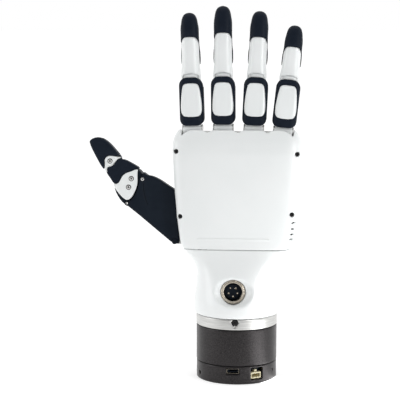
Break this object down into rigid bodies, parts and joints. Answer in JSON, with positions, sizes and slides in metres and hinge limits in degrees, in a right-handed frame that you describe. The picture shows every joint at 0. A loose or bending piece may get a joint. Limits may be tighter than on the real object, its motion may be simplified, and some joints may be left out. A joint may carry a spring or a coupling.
{
  "type": "prosthetic hand",
  "caption": "Powered prosthetic right hand with jointed fingers and thumb in white shells and black rubber, on a round wrist coupling.",
  "frame": {"origin": "centre of the flat lower face of the wrist coupling", "axes": "+Z from the wrist to the fingertips, -Y is the back of the hand, -X is the thumb's side"},
  "size_m": [0.1499, 0.0598, 0.2612],
  "materials": {
    "white_shell": "satin gloss, moulded",
    "black_rubber": "fine matt grain",
    "black_plastic": "fine matt grain",
    "dark_anodised": "dark satin anodised",
    "brushed_aluminium": "brushed round the axis",
    "steel": "ground",
    "connector_steel": "nickel plated, warm tint",
    "cream_nylon": "moulded",
    "potting": "potting compound",
    "black_screw": "black oxide"
  },
  "bodies": {
    "coupling": {"coupling_cap": "dark_anodised", "coupling_housing": "dark_anodised", "signal_module": "potting", "data_port": "connector_steel", "power_port": "cream_nylon"},
    "hand": {"wrist_ring": "brushed_aluminium", "ring_lock_screw": "black_screw", "wrist_shell": "white_shell", "plug_socket": "connector_steel", "plug_insert": "black_plastic", "palm_frame": "brushed_aluminium", "back_cover": "white_shell", "palm_cover": "white_shell", "cover_screw_upper_thumb_side": "black_screw", "cover_screw_upper_outer_side": "black_screw", "cover_screw_lower_thumb_side": "black_screw", "cover_screw_lower_outer_side": "black_screw", "thumb_servo": "black_plastic", "index_actuator": "black_plastic", "index_knuckle_pin": "steel", "middle_actuator": "black_plastic", "middle_knuckle_pin": "steel", "ring_actuator": "black_plastic", "ring_knuckle_pin": "steel", "little_actuator": "black_plastic", "little_knuckle_pin": "steel"},
    "index_first_phalanx": {"index_proximal_link": "white_shell", "index_proximal_sleeve": "black_rubber", "index_proximal_cover": "white_shell"},
    "index_last_phalanx": {"index_distal_link": "white_shell", "index_fingertip": "black_rubber"},
    "index_rod": {"index_push_rod": "steel"},
    "middle_first_phalanx": {"middle_proximal_link": "white_shell", "middle_proximal_sleeve": "black_rubber", "middle_proximal_cover": "white_shell"},
    "middle_last_phalanx": {"middle_distal_link": "white_shell", "middle_fingertip": "black_rubber"},
    "middle_rod": {"middle_push_rod": "steel"},
    "ring_first_phalanx": {"ring_proximal_link": "white_shell", "ring_proximal_sleeve": "black_rubber", "ring_proximal_cover": "white_shell"},
    "ring_last_phalanx": {"ring_distal_link": "white_shell", "ring_fingertip": "black_rubber"},
    "ring_rod": {"ring_push_rod": "steel"},
    "little_first_phalanx": {"little_proximal_link": "white_shell", "little_proximal_sleeve": "black_rubber", "little_proximal_cover": "white_shell"},
    "little_last_phalanx": {"little_distal_link": "white_shell", "little_fingertip": "black_rubber"},
    "little_rod": {"little_push_rod": "steel"},
    "thumb_foot": {"thumb_bracket": "brushed_aluminium"},
    "thumb_root": {"thumb_metacarpal": "black_plastic", "thumb_root_pin": "steel", "thumb_actuator": "black_plastic", "thumb_middle_pin": "steel"},
    "thumb_middle": {"thumb_link": "white_shell", "thumb_middle_pad": "black_rubber", "thumb_tip_pin": "steel"},
    "thumb_end": {"thumb_tip": "black_rubber"}
  },
  "joints": [
    {"name": "wrist_rotation", "type": "hinge", "parent": "coupling", "child": "hand", "pos_m": [0, 0, 0.0383], "axis": [0, 0, 1], "range_deg": [-90, 90]},
    {"name": "index_knuckle", "type": "hinge", "parent": "hand", "child": "index_first_phalanx", "pos_m": [-0.031, 0, 0.1716], "axis": [-0.9995, 0, -0.0314], "range_deg": [0, 88]},
    {"name": "index_middle_joint", "type": "hinge", "parent": "index_first_phalanx", "child": "index_last_phalanx", "pos_m": [-0.03229, 0, 0.21258], "axis": [-0.9995, 0, -0.0314], "range_deg": [0, 90]},
    {"name": "index_rod_slide", "type": "slide", "parent": "hand", "child": "index_rod", "axis": [-0.0314, 0, 0.9995], "range_m": [0, 0.0078]},
    {"name": "middle_knuckle", "type": "hinge", "parent": "hand", "child": "middle_first_phalanx", "pos_m": [-0.0096, 0, 0.1724], "axis": [-1, 0, -0.007], "range_deg": [0, 88]},
    {"name": "middle_middle_joint", "type": "hinge", "parent": "middle_first_phalanx", "child": "middle_last_phalanx", "pos_m": [-0.00989, 0, 0.2134], "axis": [-1, 0, -0.007], "range_deg": [0, 90]},
    {"name": "middle_rod_slide", "type": "slide", "parent": "hand", "child": "middle_rod", "axis": [-0.007, 0, 1], "range_m": [0, 0.0078]},
    {"name": "ring_knuckle", "type": "hinge", "parent": "hand", "child": "ring_first_phalanx", "pos_m": [0.0114, 0, 0.172], "axis": [-0.9988, 0, 0.0489], "range_deg": [0, 88]},
    {"name": "ring_middle_joint", "type": "hinge", "parent": "ring_first_phalanx", "child": "ring_last_phalanx", "pos_m": [0.0134, 0, 0.21295], "axis": [-0.9988, 0, 0.0489], "range_deg": [0, 90]},
    {"name": "ring_rod_slide", "type": "slide", "parent": "hand", "child": "ring_rod", "axis": [0.0489, 0, 0.9988], "range_m": [0, 0.0078]},
    {"name": "little_knuckle", "type": "hinge", "parent": "hand", "child": "little_first_phalanx", "pos_m": [0.0316, 0, 0.1706], "axis": [-0.994, 0, 0.1097], "range_deg": [0, 88]},
    {"name": "little_middle_joint", "type": "hinge", "parent": "little_first_phalanx", "child": "little_last_phalanx", "pos_m": [0.0361, 0, 0.21135], "axis": [-0.994, 0, 0.1097], "range_deg": [0, 90]},
    {"name": "little_rod_slide", "type": "slide", "parent": "hand", "child": "little_rod", "axis": [0.1097, 0, 0.994], "range_m": [0, 0.0078]},
    {"name": "thumb_opposition", "type": "hinge", "parent": "hand", "child": "thumb_foot", "pos_m": [-0.035, 0.0075, 0.1], "axis": [0, 0, -1], "range_deg": [0, 60]},
    {"name": "thumb_root_flexion", "type": "hinge", "parent": "thumb_foot", "child": "thumb_root", "pos_m": [-0.0441, 0.0075, 0.096], "axis": [0, 1, 0], "range_deg": [0, 14]},
    {"name": "thumb_middle_flexion", "type": "hinge", "parent": "thumb_root", "child": "thumb_middle", "pos_m": [-0.0747, 0.0075, 0.1396], "axis": [0, 1, 0], "range_deg": [0, 25.2]},
    {"name": "thumb_tip_flexion", "type": "hinge", "parent": "thumb_middle", "child": "thumb_end", "pos_m": [-0.0899, 0.0075, 0.1523], "axis": [0, 1, 0], "range_deg": [0, 16.1]}
  ],
  "couplings": [
    {"joint": "index_middle_joint", "follows": "index_knuckle", "ratio": 1},
    {"joint": "index_rod_slide", "follows": "index_knuckle", "m_per_rad": 0.00495},
    {"joint": "middle_middle_joint", "follows": "middle_knuckle", "ratio": 1},
    {"joint": "middle_rod_slide", "follows": "middle_knuckle", "m_per_rad": 0.00495},
    {"joint": "ring_middle_joint", "follows": "ring_knuckle", "ratio": 1},
    {"joint": "ring_rod_slide", "follows": "ring_knuckle", "m_per_rad": 0.00495},
    {"joint": "little_middle_joint", "follows": "little_knuckle", "ratio": 1},
    {"joint": "little_rod_slide", "follows": "little_knuckle", "m_per_rad": 0.00495},
    {"joint": "thumb_middle_flexion", "follows": "thumb_root_flexion", "ratio": 1.785},
    {"joint": "thumb_tip_flexion", "follows": "thumb_root_flexion", "ratio": 1.14}
  ]
}
